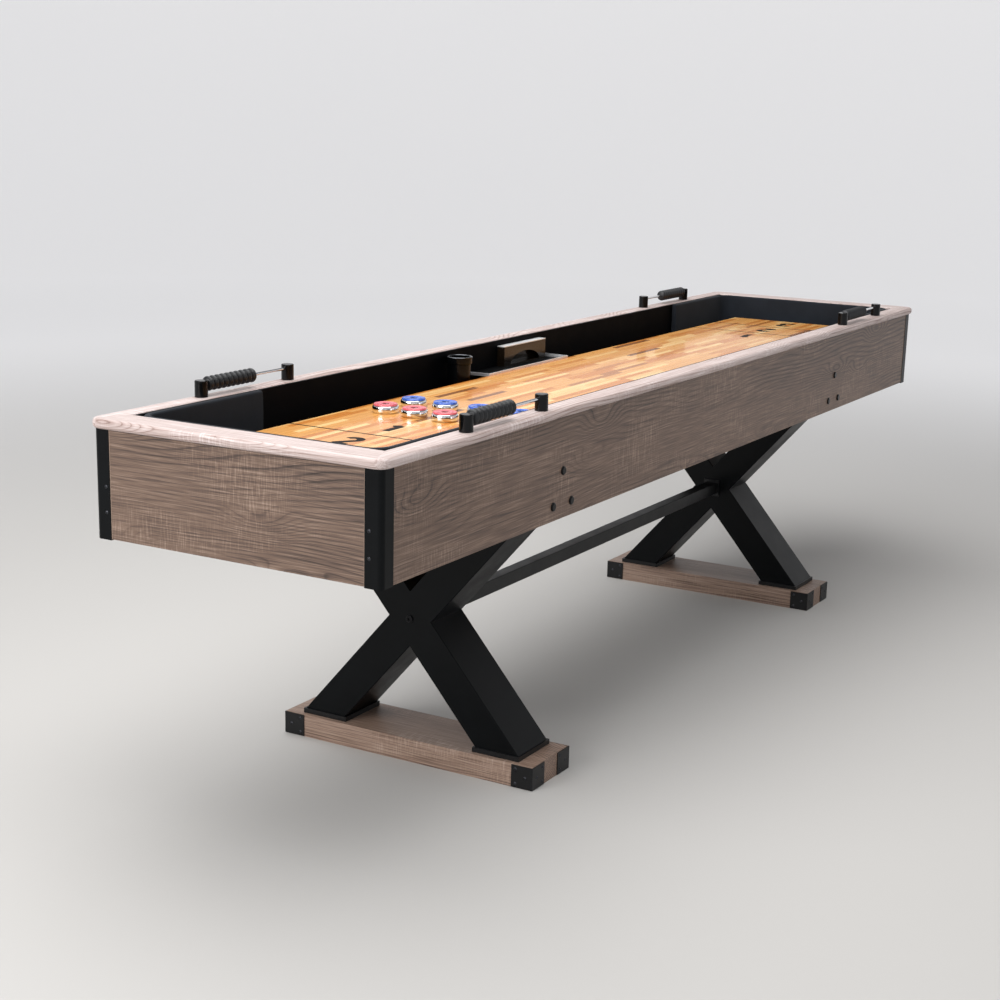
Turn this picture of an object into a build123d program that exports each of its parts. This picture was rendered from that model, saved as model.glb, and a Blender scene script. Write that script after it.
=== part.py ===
"""Shuffleboard table on two X-shaped legs, with rail scorers and sliding pucks.

Millimetres, +Z up. The table's length runs along X and its width along Y. The
origin is on the floor, under the centre of the table. "left" is the -X end,
"right" the +X end, "front" the -Y side and "back" the +Y side.
"""
import os
from math import atan2, sin

from build123d import *

# ---- driving dimensions -------------------------------------------------------
TABLE_LENGTH = 2735.0           # over the rails, a nominal 9 ft
TABLE_WIDTH = 622.0
RAIL_TOP_Z = 747.0

RAIL_THICKNESS = 19.0
RAIL_OVERHANG = 8.0             # past the cabinet
END_RAIL_WIDTH = 66.0
SIDE_RAIL_WIDTH = 43.0
RAIL_CORNER_R = 24.0            # seen from above
RAIL_NOSE_R = 8.0
RAIL_INNER_R = 3.0

PANEL_HEIGHT = 196.0
PANEL_THICKNESS = 18.0
PANEL_INSET = 1.0               # panels sit behind the face of the posts
POST_SIZE = 34.0
POST_CORNER_R = 10.0
POST_DROP = 2.0                 # posts reach a little below the panels
POST_SCREW_FROM_FACE = 25.0
POST_SCREW_DROPS = (102.0, 148.0)

END_GUTTER = 42.5               # between the playfield and an end bumper
SIDE_GUTTER = 72.0              # between the playfield and a side liner
FIELD_THICKNESS = 38.0
FIELD_DROP = 59.0               # from the rail's top down to the playing surface
FIELD_EDGE_CHAMFER = 1.5
ZONE_DEPTH = 150.0              # three scoring zones at each end
ZONE_LINE_WIDTH = 6.0
INLAY_DEPTH = 0.6
NUMERAL_HEIGHT = 76.0
NUMERAL_STROKE = 16.0

DECK_THICKNESS = 12.0
CARPET_THICKNESS = 3.0
CARPET_CLEARANCE = 0.5          # to a bumper
BACKER_THICKNESS = 16.0         # boards behind the liners, under the rails
LINER_THICKNESS = 6.0
LINER_DROP = 2.0                # below the rail's top
BUMPER_THICKNESS = 14.0
BUMPER_CORNER_R = 42.0
BUMPER_ARM = 352.0              # length of each arm along the side
BUMPER_DROP = 1.0
BATTEN_WIDTH = 45.0
BATTEN_HEIGHT = 60.0
BATTEN_STATIONS = (-0.86, -0.26, 0.26, 0.86)    # shares of the deck's half length

LEG_INSET = 611.5               # each leg's centre from the cabinet's end
LEG_WIDTH = 75.0                # square to the beam, in the plane of the X
LEG_DEPTH = 118.0               # along the table
LEG_FOOT_SPREAD = 410.0         # between the two beam centres at the bottom
LEG_EDGE_R = 2.0
FOOT_LENGTH = 594.0             # over the corner brackets
FOOT_WIDTH = 151.0
FOOT_HEIGHT = 48.0
FOOT_PLATE_THICKNESS = 10.0
FOOT_PLATE_MARGIN = 3.5
BRACKET_THICKNESS = 2.0
BRACKET_REACH = 48.0
BRACKET_EDGE = 1.0              # wood left showing above and below a bracket
SCREW_FROM_CORNER = 17.0
SCREW_FROM_EDGE = 9.0
SCREW_HEAD_R = 3.6
SCREW_HEAD_RISE = 1.6
SCREW_SHANK_R = 1.8
SCREW_LENGTH = 14.0

STRETCHER_SIZE = 30.0
STRETCHER_WALL = 2.0
STRETCHER_PLATE = 44.0
STRETCHER_PLATE_THICKNESS = 4.0

BOLT_SHANK_R = 4.0
BOLT_HOLE_CLEARANCE = 0.2
CROSS_BOLT_HEAD_R = 8.0
CROSS_BOLT_HEAD_RISE = 3.0
CROSS_BOLT_SOCKET_R = 3.5
CROSS_BOLT_SOCKET_FLOOR = 0.8
CROSS_BOLT_END = 15.0           # past the stretcher's plate
CARRIAGE_HEAD_R = 8.5
CARRIAGE_HEAD_RISE = 3.5
CARRIAGE_LENGTH = 75.0
CARRIAGE_SPREAD = 72.0          # between the two lower bolts
CARRIAGE_RISE = 28.0            # lower pair above the panel's edge
CARRIAGE_DROP = 14.0            # upper one below the deck

SCORER_INSET = 416.5            # middle of each scorer from the end of the rail
SCORER_SPAN = 266.0             # between the post centres
SCORER_POST_R = 12.5
SCORER_POST_HEIGHT = 31.5
ROD_R = 3.0
ROD_HEIGHT = 23.0               # above the rail
ROD_SOCKET = 8.0
ROD_FIT = 0.05
BEAD_R = 14.0
BEAD_PITCH = 14.2
BEAD_GAP = 0.3
BEAD_EDGE_R = 4.5
BEADS_PER_GROUP = 5
BEAD_GROUPS = ("rear", "lead")

PUCK_R = 27.0
PUCK_WAIST_R = 25.4
PUCK_BASE_HEIGHT = 14.5
PUCK_CAP_R = 24.2
PUCK_CAP_HEIGHT = 5.0
PUCK_CAP_SEAT = 1.5             # how deep the cap sits in the base
PUCK_DIMPLE_R = 7.0
PUCK_DIMPLE_DEPTH = 2.4
PUCK_LIFT = 0.2                 # running gap under a puck

SHELF_LENGTH = 380.0
SHELF_SHEET = 2.0
SHELF_DROP = 3.0                # below the playing surface
SHELF_CLEARANCE = 0.5
LIP_THICKNESS = 2.0
LIP_RISE = 7.0
ARCH_BOX_CENTRE_X = 66.0
ARCH_BOX_WIDTH = 200.0
ARCH_BOX_DEPTH = 20.0
ARCH_BOX_HEIGHT = 46.0
ARCH_BOX_WALL = 3.0
ARCH_HALF_WIDTH = 70.0
ARCH_RISE = 29.0
ARCH_TOP_THICKNESS = 2.0
CUP_X = -258.0
CUP_FROM_LINER = 32.0           # its axis from the liner
CUP_R = 27.0
CUP_WALL = 2.5
CUP_FLOOR = 3.0
CUP_TOP_DROP = 10.0             # below the rail's top
CUP_RIM_R = 30.0
CUP_RIM_THICKNESS = 3.0

# ---- places that follow from them ---------------------------------------------
RAIL_BASE_Z = RAIL_TOP_Z - RAIL_THICKNESS
PANEL_BASE_Z = RAIL_BASE_Z - PANEL_HEIGHT
CABINET_X = TABLE_LENGTH / 2 - RAIL_OVERHANG
CABINET_Y = TABLE_WIDTH / 2 - RAIL_OVERHANG
OPENING_X = TABLE_LENGTH / 2 - END_RAIL_WIDTH
OPENING_Y = TABLE_WIDTH / 2 - SIDE_RAIL_WIDTH
PANEL_INNER_X = CABINET_X - PANEL_INSET - PANEL_THICKNESS
PANEL_INNER_Y = CABINET_Y - PANEL_INSET - PANEL_THICKNESS
FIELD_Z = RAIL_TOP_Z - FIELD_DROP
DECK_Z = FIELD_Z - FIELD_THICKNESS
DECK_BASE_Z = DECK_Z - DECK_THICKNESS
GUTTER_Z = DECK_Z + CARPET_THICKNESS
LINER_Y = OPENING_Y - LINER_THICKNESS
FIELD_LENGTH = 2 * (OPENING_X - BUMPER_THICKNESS - END_GUTTER)
FIELD_WIDTH = 2 * (LINER_Y - SIDE_GUTTER)
LEG_STATION = CABINET_X - LEG_INSET
SCORER_STATION = TABLE_LENGTH / 2 - SCORER_INSET
FOOT_PLATE_Z = FOOT_HEIGHT + FOOT_PLATE_THICKNESS
LEG_CROSS_Z = (FOOT_PLATE_Z + PANEL_BASE_Z) / 2
LEG_SLOPE = atan2(PANEL_BASE_Z - FOOT_PLATE_Z, LEG_FOOT_SPREAD)
LEG_HALF_CUT = LEG_WIDTH / 2 / sin(LEG_SLOPE)     # half the beam's level cut
SCORER_Y = TABLE_WIDTH / 2 - SIDE_RAIL_WIDTH / 2
ROD_Z = RAIL_TOP_Z + ROD_HEIGHT
SHELF_Z = FIELD_Z - SHELF_DROP

SIDES = {"left": -1, "right": 1}
FACES = {"front": -1, "back": 1}
# each puck: distance from the playfield's left end, share of its half width
PUCKS = {
    "red_1": (514.0, 0.59),
    "red_2": (510.0, 0.216),
    "red_3": (507.0, -0.168),
    "red_4": (505.0, -0.558),
    "blue_1": (606.0, 0.553),
    "blue_2": (606.0, 0.152),
    "blue_3": (606.0, -0.28),
    "blue_4": (605.0, -0.773),
}
# each scorer: rail face, table end, and which way its beads travel
SCORERS = {
    "front_left": (-1, -1, 1),
    "back_left": (1, -1, 1),
    "front_right": (-1, 1, 1),
    "back_right": (1, 1, -1),
}


def block(x, y, z):
    """A box from three (low, high) pairs."""
    size = [high - low for low, high in (x, y, z)]
    centre = [(low + high) / 2 for low, high in (x, y, z)]
    return Pos(*centre) * Box(*size)


def both(value):
    """The pair from -value to value."""
    return (-value, value)


def disc(radius, low, high):
    """An upright cylinder between two heights."""
    return Pos(0, 0, (low + high) / 2) * Cylinder(radius, high - low)


def along_x(shape, x=0.0, y=0.0, z=0.0, way=1):
    """Turn an upright shape so that its +Z points along X, and place it."""
    return Pos(x, y, z) * Rot(0, 90 * way, 0) * shape


def along_y(shape, x=0.0, y=0.0, z=0.0, way=1):
    """Turn an upright shape so that its +Z points along Y, and place it."""
    return Pos(x, y, z) * Rot(-90 * way, 0, 0) * shape


def group(shapes):
    """Separate solids as one named sub-part."""
    return Compound(children=[solid for shape in shapes for solid in shape.solids()])


# ---- feet and legs --------------------------------------------------------------
def foot_beams():
    """The wood block under each leg, thinner than the brackets that wrap it."""
    half_x = FOOT_WIDTH / 2 - BRACKET_THICKNESS
    half_y = FOOT_LENGTH / 2 - BRACKET_THICKNESS
    beam = block(both(half_x), both(half_y), (0, FOOT_HEIGHT)) - group(bracket_screws())
    return group([Pos(side * LEG_STATION, 0, 0) * beam for side in SIDES.values()])


def bracket_corner():
    """One angle bracket round a foot's corner at +X, +Y."""
    x = (FOOT_WIDTH / 2 - BRACKET_REACH, FOOT_WIDTH / 2)
    y = (FOOT_LENGTH / 2 - BRACKET_REACH, FOOT_LENGTH / 2)
    z = (BRACKET_EDGE, FOOT_HEIGHT - BRACKET_EDGE)
    inside = block((x[0] - 1, x[1] - BRACKET_THICKNESS), (y[0] - 1, y[1] - BRACKET_THICKNESS), z)
    return block(x, y, z) - inside


def at_corners(shape):
    """A +X, +Y corner shape repeated at a foot's four corners."""
    across = [shape, shape.mirror(Plane.YZ)]
    return across + [piece.mirror(Plane.XZ) for piece in across]


def foot_brackets():
    """The angle brackets of both feet, drilled for their screws."""
    brackets = group(at_corners(bracket_corner())) - group(bracket_screws())
    return group([Pos(side * LEG_STATION, 0, 0) * brackets for side in SIDES.values()])


def foot_screws():
    """The bracket screws of both feet."""
    return [Pos(side * LEG_STATION, 0, 0) * screw for side in SIDES.values() for screw in bracket_screws()]


def bracket_screws():
    """Three screws in each face of each bracket of a foot at the origin."""
    screw = disc(SCREW_SHANK_R, -SCREW_LENGTH, 0) + screw_head()
    inner = BRACKET_REACH - SCREW_FROM_EDGE
    places = [
        (SCREW_FROM_CORNER, FOOT_HEIGHT / 2),
        (inner, FOOT_HEIGHT - SCREW_FROM_EDGE),
        (inner, SCREW_FROM_EDGE),
    ]
    corner = []
    for from_corner, z in places:
        corner.append(along_x(screw, FOOT_WIDTH / 2, FOOT_LENGTH / 2 - from_corner, z))
        corner.append(along_y(screw, FOOT_WIDTH / 2 - from_corner, FOOT_LENGTH / 2, z))
    return [piece for screw in corner for piece in at_corners(screw)]


def screw_head():
    """A low domed head on the plane z = 0."""
    head = disc(SCREW_HEAD_R, 0, SCREW_HEAD_RISE)
    return fillet(head.edges().sort_by(Axis.Z)[-1], SCREW_HEAD_RISE * 0.7)


def foot_plates():
    """The steel plate between each leg beam and its foot."""
    half_x = LEG_DEPTH / 2 + FOOT_PLATE_MARGIN
    half_y = LEG_HALF_CUT + FOOT_PLATE_MARGIN
    plates = []
    for side in SIDES.values():
        for face in FACES.values():
            plate = block(both(half_x), both(half_y), (FOOT_HEIGHT, FOOT_PLATE_Z))
            plates.append(Pos(side * LEG_STATION, face * LEG_FOOT_SPREAD / 2, 0) * plate)
    return group(plates)


def leg_beam(lean):
    """A whole slanted beam of the left leg, its foot on the lean side of Y."""
    foot_y = lean * LEG_FOOT_SPREAD / 2
    outline = Polygon(
        (foot_y - LEG_HALF_CUT, FOOT_PLATE_Z),
        (foot_y + LEG_HALF_CUT, FOOT_PLATE_Z),
        (-foot_y + LEG_HALF_CUT, PANEL_BASE_Z),
        (-foot_y - LEG_HALF_CUT, PANEL_BASE_Z),
        align=None,
    )
    beam = extrude(Plane.YZ * outline, amount=LEG_DEPTH / 2, both=True)
    long_edges = [edge for edge in beam.edges() if abs((edge % 0.5).Z) > 0.5]
    return fillet(long_edges, LEG_EDGE_R)


def leg_pair():
    """The left leg's two beams, halved into each other where they cross."""
    outer = leg_beam(-1)
    inner = leg_beam(1)
    outer_half = block((-LEG_DEPTH, 0), both(LEG_WIDTH * 2), (FOOT_PLATE_Z, PANEL_BASE_Z))
    lap = leg_beam(1) & leg_beam(-1)
    bolt_hole = along_x(
        disc(BOLT_SHANK_R + BOLT_HOLE_CLEARANCE, -LEG_DEPTH, LEG_DEPTH), z=LEG_CROSS_Z
    )
    return outer - (lap - outer_half) - bolt_hole, inner - (lap & outer_half) - bolt_hole


def place_leg(shape, side):
    """Stand a left leg's piece at one end of the table; the right one is turned round."""
    turned = shape if side < 0 else Rot(0, 0, 180) * shape
    return Pos(side * LEG_STATION, 0, 0) * turned


def cross_bolt():
    """The bolt through the left leg's crossing, its socket head on the outer face."""
    length = LEG_DEPTH + STRETCHER_PLATE_THICKNESS + CROSS_BOLT_END
    head = disc(CROSS_BOLT_HEAD_R, 0, CROSS_BOLT_HEAD_RISE)
    head = fillet(head.edges().sort_by(Axis.Z)[-1], 1.2)
    socket = extrude(RegularPolygon(CROSS_BOLT_SOCKET_R, 6), amount=CROSS_BOLT_HEAD_RISE)
    bolt = head - Pos(0, 0, CROSS_BOLT_SOCKET_FLOOR) * socket + disc(BOLT_SHANK_R, -length, 0)
    return along_x(bolt, x=-LEG_DEPTH / 2, z=LEG_CROSS_Z, way=-1)


def stretcher():
    """The square tube between the legs, with a plate welded on each end."""
    half = LEG_STATION - LEG_DEPTH / 2
    size = both(STRETCHER_SIZE / 2)
    bore = both(STRETCHER_SIZE / 2 - STRETCHER_WALL)
    plate = both(STRETCHER_PLATE / 2)
    bar = block(both(half), size, size)
    inner = half - STRETCHER_PLATE_THICKNESS
    ends = [block(sorted((side * half, side * inner)), plate, plate) for side in (-1, 1)]
    long_edges = bar.edges().filter_by(Axis.X)
    bar = fillet(long_edges, STRETCHER_WALL)
    bar = bar - block(both(half), bore, bore) + ends[0] + ends[1]
    hole = along_x(disc(BOLT_SHANK_R + BOLT_HOLE_CLEARANCE, -TABLE_LENGTH, TABLE_LENGTH))
    return Pos(0, 0, LEG_CROSS_Z) * (bar - hole)


# ---- cabinet ----------------------------------------------------------------------
def carriage_bolts(grow=0.0):
    """Three domed bolts through each side panel into each head beam."""
    head = disc(CARRIAGE_HEAD_R, 0, CARRIAGE_HEAD_RISE)
    head = fillet(head.edges().sort_by(Axis.Z)[-1], CARRIAGE_HEAD_RISE * 0.8)
    bolt = head + disc(BOLT_SHANK_R + grow, -CARRIAGE_LENGTH, 0)
    low, high = PANEL_BASE_Z + CARRIAGE_RISE, DECK_BASE_Z - CARRIAGE_DROP
    spots = [(-CARRIAGE_SPREAD / 2, low), (CARRIAGE_SPREAD / 2, low), (0.0, high)]
    bolts = []
    for side in SIDES.values():
        for face in FACES.values():
            for x, z in spots:
                y = face * (CABINET_Y - PANEL_INSET)
                bolts.append(along_y(bolt, side * LEG_STATION + x, y, z, way=face))
    return group(bolts)


def head_beams():
    """The cross beam on top of each X, bolted between the side panels."""
    beams = []
    for side in SIDES.values():
        x = (side * LEG_STATION - LEG_DEPTH / 2, side * LEG_STATION + LEG_DEPTH / 2)
        beams.append(block(x, both(PANEL_INNER_Y), (PANEL_BASE_Z, DECK_BASE_Z)))
    return group(beams) - carriage_bolts(BOLT_HOLE_CLEARANCE)


def side_panel(face):
    """A long apron panel, between the posts."""
    outer = CABINET_Y - PANEL_INSET
    y = sorted((face * outer, face * (outer - PANEL_THICKNESS)))
    panel = block(both(CABINET_X - POST_SIZE), y, (PANEL_BASE_Z, RAIL_BASE_Z))
    return panel - carriage_bolts(BOLT_HOLE_CLEARANCE)


def end_panel(side):
    """A short apron panel, between the posts."""
    outer = CABINET_X - PANEL_INSET
    x = sorted((side * outer, side * (outer - PANEL_THICKNESS)))
    return block(x, both(CABINET_Y - POST_SIZE), (PANEL_BASE_Z, RAIL_BASE_Z))


def post_screws():
    """Screws in the end face of each post."""
    screw = screw_head() + disc(SCREW_SHANK_R, -SCREW_LENGTH, 0)
    screws = []
    for side in SIDES.values():
        for face in FACES.values():
            for drop in POST_SCREW_DROPS:
                y = face * (CABINET_Y - POST_SCREW_FROM_FACE)
                screws.append(along_x(screw, side * CABINET_X, y, RAIL_BASE_Z - drop, way=side))
    return screws


def corner_posts():
    """The four black posts, rounded on their outer corner."""
    section = Rectangle(POST_SIZE, POST_SIZE, align=(Align.MAX, Align.MAX))
    outer_corner = max(section.vertices(), key=lambda vertex: vertex.X + vertex.Y)
    section = fillet(outer_corner, POST_CORNER_R)
    post = extrude(section, amount=PANEL_HEIGHT + POST_DROP)
    post = Pos(CABINET_X, CABINET_Y, PANEL_BASE_Z - POST_DROP) * post
    return group(at_corners(post)) - group(post_screws())


def rail_ring():
    """All four rails as one rounded frame, before the mitres are cut."""
    slab = extrude(RectangleRounded(TABLE_LENGTH, TABLE_WIDTH, RAIL_CORNER_R), amount=RAIL_THICKNESS)
    rims = slab.faces().filter_by(Axis.Z).edges()
    slab = fillet(rims, RAIL_NOSE_R)
    ring = slab - block(both(OPENING_X), both(OPENING_Y), both(RAIL_THICKNESS * 2))
    return Pos(0, 0, RAIL_BASE_Z) * ring


def mitred_rail(ring, inner, outward):
    """The part of the ring beyond one inner edge of the opening, cut at its two mitres.

    inner holds the edge's two ends and outward the mitre's step from each of them.
    """
    tips = [(x + step_x, y + step_y) for (x, y), (step_x, step_y) in zip(inner, outward)]
    plan = make_face(Polyline(*inner, *reversed(tips), close=True))
    rail = ring & Pos(0, 0, RAIL_BASE_Z - 1) * extrude(plan, amount=RAIL_THICKNESS + 2, dir=(0, 0, 1))
    inner_middle = Vector(sum(x for x, _ in inner) / 2, sum(y for _, y in inner) / 2, RAIL_TOP_Z)
    inner_edge = min(rail.edges(), key=lambda edge: (edge @ 0.5 - inner_middle).length)
    return fillet(inner_edge, RAIL_INNER_R)


def rails():
    """The four rails by their names, mitred through the centres of the corner rounds."""
    ring = rail_ring()
    step_x, step_y = (2.5 * (width - RAIL_CORNER_R) for width in (END_RAIL_WIDTH, SIDE_RAIL_WIDTH))
    end = mitred_rail(
        ring,
        [(OPENING_X, -OPENING_Y), (OPENING_X, OPENING_Y)],
        [(step_x, -step_y), (step_x, step_y)],
    )
    side = mitred_rail(
        ring,
        [(-OPENING_X, -OPENING_Y), (OPENING_X, -OPENING_Y)],
        [(-step_x, -step_y), (step_x, -step_y)],
    )
    return {
        "end_rail_left": end.mirror(Plane.YZ),
        "end_rail_right": end,
        "side_rail_front": side,
        "side_rail_back": side.mirror(Plane.XZ),
    }


def backers():
    """The boards behind the liners that carry the rails."""
    z = (DECK_Z, RAIL_BASE_Z)
    boards = []
    for face in FACES.values():
        y = sorted((face * OPENING_Y, face * (OPENING_Y + BACKER_THICKNESS)))
        boards.append(block(both(CABINET_X - POST_SIZE), y, z))
    for side in SIDES.values():
        x = sorted((side * OPENING_X, side * (OPENING_X + BACKER_THICKNESS)))
        boards.append(block(x, both(OPENING_Y), z))
    return group(boards)


def deck_board():
    """The board that closes the cabinet under the playfield, notched for the posts."""
    deck = block(both(PANEL_INNER_X), both(PANEL_INNER_Y), (DECK_BASE_Z, DECK_Z))
    notch = block(
        (CABINET_X - POST_SIZE, CABINET_X), (CABINET_Y - POST_SIZE, CABINET_Y), (DECK_BASE_Z, DECK_Z)
    )
    return deck - group(at_corners(notch))


def cross_battens():
    """Bearers under the deck, between the side panels."""
    z = (DECK_BASE_Z - BATTEN_HEIGHT, DECK_BASE_Z)
    battens = []
    for share in BATTEN_STATIONS:
        x = share * PANEL_INNER_X
        battens.append(block((x - BATTEN_WIDTH / 2, x + BATTEN_WIDTH / 2), both(PANEL_INNER_Y), z))
    return group(battens)


# ---- playing surface and gutters --------------------------------------------------
def numeral(figure):
    """A block figure 1, 2 or 3, centred, as a face to inlay."""
    half = NUMERAL_HEIGHT / 2 - NUMERAL_STROKE / 2
    bowl = half / 2
    if figure == 1:
        lines = [Line((0, -half), (0, half)), Line((0, half), (-bowl, half - bowl * 0.7))]
    elif figure == 2:
        top = CenterArc((0, half - bowl), bowl, 160, -200)
        lines = [top, Line(top @ 1, (-bowl, -half)), Line((-bowl, -half), (bowl, -half))]
    else:
        lines = [
            CenterArc((0, half - bowl), bowl, 160, -250),
            CenterArc((0, bowl - half), bowl, 90, -250),
        ]
    strokes = [trace(line, NUMERAL_STROKE) for line in lines]
    figure_face = strokes[0]
    for stroke in strokes[1:]:
        figure_face = figure_face + stroke
    return figure_face


def inlay_faces():
    """Zone lines and figures of both ends, as plan faces."""
    faces = []
    for side in SIDES.values():
        for zone in (1, 2):
            x = side * (FIELD_LENGTH / 2 - zone * ZONE_DEPTH)
            faces.append(Pos(x, 0) * Rectangle(ZONE_LINE_WIDTH, FIELD_WIDTH - 2 * FIELD_EDGE_CHAMFER))
        for figure in (1, 2, 3):
            x = side * (FIELD_LENGTH / 2 - (3.5 - figure) * ZONE_DEPTH)
            faces.append(Pos(x, 0) * Rot(0, 0, 90 * side) * numeral(figure))
    return faces


def field_inlays():
    """The dark zone lines and figures, flush with the playing surface."""
    base = Pos(0, 0, FIELD_Z - INLAY_DEPTH)
    return group([base * extrude(face, amount=INLAY_DEPTH) for face in inlay_faces()])


def playfield():
    """The butcher-block board, recessed for the inlays."""
    board = block(both(FIELD_LENGTH / 2), both(FIELD_WIDTH / 2), (DECK_Z, FIELD_Z))
    board = chamfer(board.faces().sort_by(Axis.Z)[-1].edges(), FIELD_EDGE_CHAMFER)
    return board - field_inlays()


def bumper_plan(side, grow=0.0):
    """Plan of one U-shaped end bumper, its arms along the side liners."""
    inner_x = OPENING_X - BUMPER_ARM
    outer = Pos(inner_x - grow, 0) * Rectangle(
        BUMPER_ARM + grow, 2 * LINER_Y, align=(Align.MIN, Align.CENTER)
    )
    thick = BUMPER_THICKNESS + grow
    inner = Pos(inner_x - grow, 0) * Rectangle(
        BUMPER_ARM + grow - thick, 2 * (LINER_Y - thick), align=(Align.MIN, Align.CENTER)
    )
    outer = fillet(outer.vertices().group_by(Axis.X)[-1], BUMPER_CORNER_R)
    inner = fillet(inner.vertices().group_by(Axis.X)[-1], BUMPER_CORNER_R - thick)
    plan = outer - inner
    return plan if side > 0 else Rot(0, 0, 180) * plan


def end_bumper(side):
    """A padded lining that wraps one end of the trough."""
    height = RAIL_TOP_Z - BUMPER_DROP - DECK_Z
    return Pos(0, 0, DECK_Z) * extrude(bumper_plan(side), amount=height)


def side_liners():
    """The black board along each long side of the trough."""
    z = (DECK_Z, RAIL_TOP_Z - LINER_DROP)
    return group([
        block(both(OPENING_X), sorted((face * LINER_Y, face * OPENING_Y)), z) for face in FACES.values()
    ])


def gutter_carpet():
    """The carpet on the deck, round the playfield."""
    plan = RectangleRounded(2 * OPENING_X, 2 * LINER_Y, BUMPER_CORNER_R)
    plan = plan - Rectangle(FIELD_LENGTH, FIELD_WIDTH)
    for side in SIDES.values():
        plan = plan - bumper_plan(side, CARPET_CLEARANCE)
    return Pos(0, 0, DECK_Z) * extrude(plan, amount=CARPET_THICKNESS)


# ---- fittings in the back gutter ---------------------------------------------------
def shelf_span():
    """The shelf's (low, high) pairs in X and Y, clear of the playfield and the liner."""
    x = both(SHELF_LENGTH / 2)
    y = (FIELD_WIDTH / 2 + SHELF_CLEARANCE, LINER_Y - SHELF_CLEARANCE)
    return x, y


def gutter_shelf():
    """A folded sheet that bridges the gutter just under the playing surface."""
    x, y = shelf_span()
    shell = block(x, y, (GUTTER_Z, SHELF_Z))
    hollow = block(x, (y[0] + SHELF_SHEET, y[1] - SHELF_SHEET), (GUTTER_Z - 1, SHELF_Z - SHELF_SHEET))
    return shell - hollow


def shelf_lip():
    """The bright edge strip on three sides of the shelf."""
    x, y = shelf_span()
    z = (SHELF_Z, SHELF_Z + LIP_RISE)
    inside = block(
        (x[0] + LIP_THICKNESS, x[1] - LIP_THICKNESS), (y[0] + LIP_THICKNESS, y[1] + 1), z
    )
    return block(x, y, z) - inside


def arch_box_place(shape):
    """Stand a box shape, built from its back bottom centre, on the shelf."""
    _, y = shelf_span()
    return Pos(ARCH_BOX_CENTRE_X, y[1], SHELF_Z) * shape


def arch_box():
    """A shallow box with an arched mouth in its front."""
    half = ARCH_BOX_WIDTH / 2
    wall = ARCH_BOX_WALL
    body = block(both(half), (-ARCH_BOX_DEPTH, 0), (0, ARCH_BOX_HEIGHT))
    hollow = block(both(half - wall), (wall - ARCH_BOX_DEPTH, -wall), (wall, ARCH_BOX_HEIGHT - wall))
    mouth = Ellipse(ARCH_HALF_WIDTH, ARCH_RISE - wall) & Rectangle(
        ARCH_BOX_WIDTH, ARCH_BOX_HEIGHT, align=(Align.CENTER, Align.MIN)
    )
    cutter = extrude(Plane.XZ * mouth, amount=ARCH_BOX_DEPTH * 2)
    cutter = Pos(0, -wall - 1, wall) * cutter
    return arch_box_place(body - hollow - cutter)


def arch_box_top():
    """The polished plate on the arched box."""
    half = ARCH_BOX_WIDTH / 2
    z = (ARCH_BOX_HEIGHT, ARCH_BOX_HEIGHT + ARCH_TOP_THICKNESS)
    return arch_box_place(block(both(half), (-ARCH_BOX_DEPTH, 0), z))


def cup_place(shape):
    """Stand a shape in the middle of the back gutter, on its carpet."""
    return Pos(CUP_X, LINER_Y - CUP_FROM_LINER, 0) * shape


def cup():
    """An open cup that stands in the gutter."""
    top = RAIL_TOP_Z - CUP_TOP_DROP - CUP_RIM_THICKNESS
    body = disc(CUP_R, GUTTER_Z, top) - disc(CUP_R - CUP_WALL, GUTTER_Z + CUP_FLOOR, top + 1)
    return cup_place(body)


def cup_rim():
    """The bright ring on the cup's mouth."""
    top = RAIL_TOP_Z - CUP_TOP_DROP
    ring = disc(CUP_RIM_R, top - CUP_RIM_THICKNESS, top)
    ring = ring - disc(CUP_R - CUP_WALL, top - 2 * CUP_RIM_THICKNESS, top + 1)
    return cup_place(fillet(ring.edges().sort_by(Axis.Z)[-2:], 0.8))


# ---- scorers and pucks --------------------------------------------------------------
def scorer_centre(face, side):
    """Middle of a scorer on the rail's top."""
    return Pos(side * SCORER_STATION, face * SCORER_Y, 0)


def scorer_rod():
    """A rod that reaches into both posts."""
    reach = SCORER_SPAN / 2 - SCORER_POST_R + ROD_SOCKET
    return along_x(disc(ROD_R, -reach, reach), z=ROD_Z)


def scorer_posts():
    """Two turned posts with blind sockets for the rod."""
    post = disc(SCORER_POST_R, RAIL_TOP_Z, RAIL_TOP_Z + SCORER_POST_HEIGHT)
    post = chamfer(post.edges().sort_by(Axis.Z)[-1], 1.2)
    reach = SCORER_SPAN / 2 - SCORER_POST_R + ROD_SOCKET
    socket = along_x(disc(ROD_R + ROD_FIT, -reach, reach), z=ROD_Z)
    return [Pos(end * SCORER_SPAN / 2, 0, 0) * post - socket for end in (-1, 1)]


def bead():
    """A rounded bead bored for the rod, centred on the rod's axis."""
    width = BEAD_PITCH - BEAD_GAP
    body = disc(BEAD_R, -width / 2, width / 2)
    body = fillet(body.edges(), BEAD_EDGE_R)
    return along_x(body - disc(ROD_R + ROD_FIT, -width, width))


def bead_group(name, index):
    """Beads of one group of a scorer, packed against the post they start from."""
    face, side, way = SCORERS[name]
    start = SCORER_SPAN / 2 - SCORER_POST_R - BEAD_GAP - BEAD_PITCH / 2
    beads = []
    for count in range(BEADS_PER_GROUP):
        x = way * (-start + (index * BEADS_PER_GROUP + count) * BEAD_PITCH)
        beads.append(scorer_centre(face, side) * Pos(x, 0, ROD_Z) * bead())
    return group(beads)


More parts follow.
